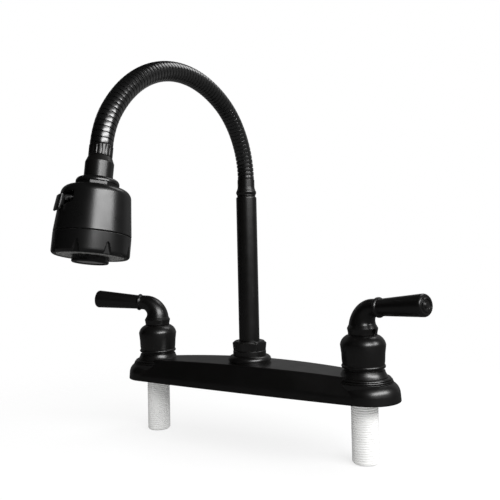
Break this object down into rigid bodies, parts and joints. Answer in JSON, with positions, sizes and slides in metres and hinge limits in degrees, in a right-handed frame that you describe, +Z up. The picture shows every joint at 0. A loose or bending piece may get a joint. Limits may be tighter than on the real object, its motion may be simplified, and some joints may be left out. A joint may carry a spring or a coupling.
{
  "type": "kitchen mixer tap",
  "caption": "Two-handle deck-mounted kitchen mixer with lever handles, a bendable ribbed gooseneck spout and a swivelling two-mode spray head, in satin black.",
  "frame": {"origin": "middle of the deck plate's flat underside", "axes": "+X towards the cold handle along the deck plate, +Y away from the user, +Z up; the spout reaches towards -Y"},
  "size_m": [0.318, 0.2273, 0.301],
  "materials": {
    "black_metal": "satin black painted metal",
    "seal_rubber": "black rubber",
    "brass": "turned brass",
    "white_plastic": "white moulded plastic",
    "hose_black": "satin black coated metal hose",
    "liner_plastic": "translucent white hose liner",
    "black_plastic": "satin black moulded plastic",
    "pale_plastic": "pale grey moulded plastic",
    "screen_grey": "grey moulded plastic mesh",
    "steel": "plain steel",
    "ceramic": "lapped white ceramic"
  },
  "bodies": {
    "deck": {"deck_plate": "black_metal", "deck_gasket": "seal_rubber", "spout_tee": "brass", "spout_flange": "black_metal", "spout_nut": "black_metal", "hot_valve_body": "white_plastic", "hot_crossover_pipe": "liner_plastic", "hot_crossover_rings": "seal_rubber", "hot_hub": "black_metal", "hot_cartridge_body": "brass", "hot_seat_seal": "seal_rubber", "hot_fixed_disc": "ceramic", "hot_bonnet_nut": "brass", "cold_valve_body": "white_plastic", "cold_crossover_pipe": "liner_plastic", "cold_crossover_rings": "seal_rubber", "cold_hub": "black_metal", "cold_cartridge_body": "brass", "cold_seat_seal": "seal_rubber", "cold_fixed_disc": "ceramic", "cold_bonnet_nut": "brass"},
    "hot_handle": {"hot_lever": "black_metal", "hot_stem": "brass", "hot_moving_disc": "ceramic", "hot_stem_ring": "seal_rubber", "hot_set_screw": "steel"},
    "cold_handle": {"cold_lever": "black_metal", "cold_stem": "brass", "cold_moving_disc": "ceramic", "cold_stem_ring": "seal_rubber", "cold_set_screw": "steel"},
    "spout": {"spout_tube": "black_metal", "spout_bush": "white_plastic", "spout_rings": "seal_rubber", "hose_ferrule": "black_metal"},
    "arch_rise": {"hose_rise": "hose_black", "liner_rise": "liner_plastic"},
    "arch_crown": {"hose_crown": "hose_black", "liner_crown": "liner_plastic"},
    "hose_end": {"hose_fall": "hose_black", "liner_fall": "liner_plastic", "hose_end_nut": "black_metal", "swivel_sleeve": "black_metal"},
    "spray_head": {"head_collar": "black_plastic", "head_shell": "black_plastic", "head_core": "white_plastic", "inlet_washer": "seal_rubber", "grip_ring": "black_plastic", "spray_plate": "pale_plastic", "aerator_housing": "black_plastic", "aerator_screen": "screen_grey", "tab_pin": "steel"},
    "mode_switch": {"mode_tab": "black_plastic"},
    "diverter": {"diverter_spool": "white_plastic"}
  },
  "joints": [
    {"name": "hot_turn", "type": "hinge", "parent": "deck", "child": "hot_handle", "pos_m": [-0.1016, 0, 0.05], "axis": [0, 0, 1], "range_deg": [-23, 67]},
    {"name": "cold_turn", "type": "hinge", "parent": "deck", "child": "cold_handle", "pos_m": [0.1016, 0, 0.05], "axis": [0, 0, -1], "range_deg": [-23, 67]},
    {"name": "spout_swing", "type": "hinge", "parent": "deck", "child": "spout", "pos_m": [0, 0, 0.03], "axis": [0, 0, 1], "continuous": true},
    {"name": "rise_bend", "type": "hinge", "parent": "spout", "child": "arch_rise", "pos_m": [0, -0.01162, 0.21427], "axis": [1, 0, 0], "range_deg": [-20, 4], "deforming": ["hose_rise", "liner_rise"]},
    {"name": "crown_bend", "type": "hinge", "parent": "arch_rise", "child": "arch_crown", "pos_m": [0, -0.08093, 0.24598], "axis": [0, 0, 1], "range_deg": [-20, 20], "deforming": ["hose_crown", "liner_crown"]},
    {"name": "fall_bend", "type": "hinge", "parent": "arch_crown", "child": "hose_end", "pos_m": [0, -0.151, 0.21395], "axis": [-1, 0, 0], "range_deg": [-25, 50], "deforming": ["hose_fall", "liner_fall"]},
    {"name": "head_swivel", "type": "hinge", "parent": "hose_end", "child": "spray_head", "pos_m": [0, -0.16857, 0.17908], "axis": [0, -0.1495, -0.9888], "continuous": true},
    {"name": "mode_rock", "type": "hinge", "parent": "spray_head", "child": "mode_switch", "pos_m": [-0.00575, -0.18962, 0.14544], "axis": [-0.9397, 0.3382, -0.0511], "range_deg": [0, 10]},
    {"name": "diverter_slide", "type": "slide", "parent": "spray_head", "child": "diverter", "axis": [0, -0.1495, -0.9888], "range_m": [0, 0.0015]}
  ],
  "couplings": [
    {"joint": "mode_rock", "follows": "diverter_slide", "rad_per_m": 116.36}
  ]
}
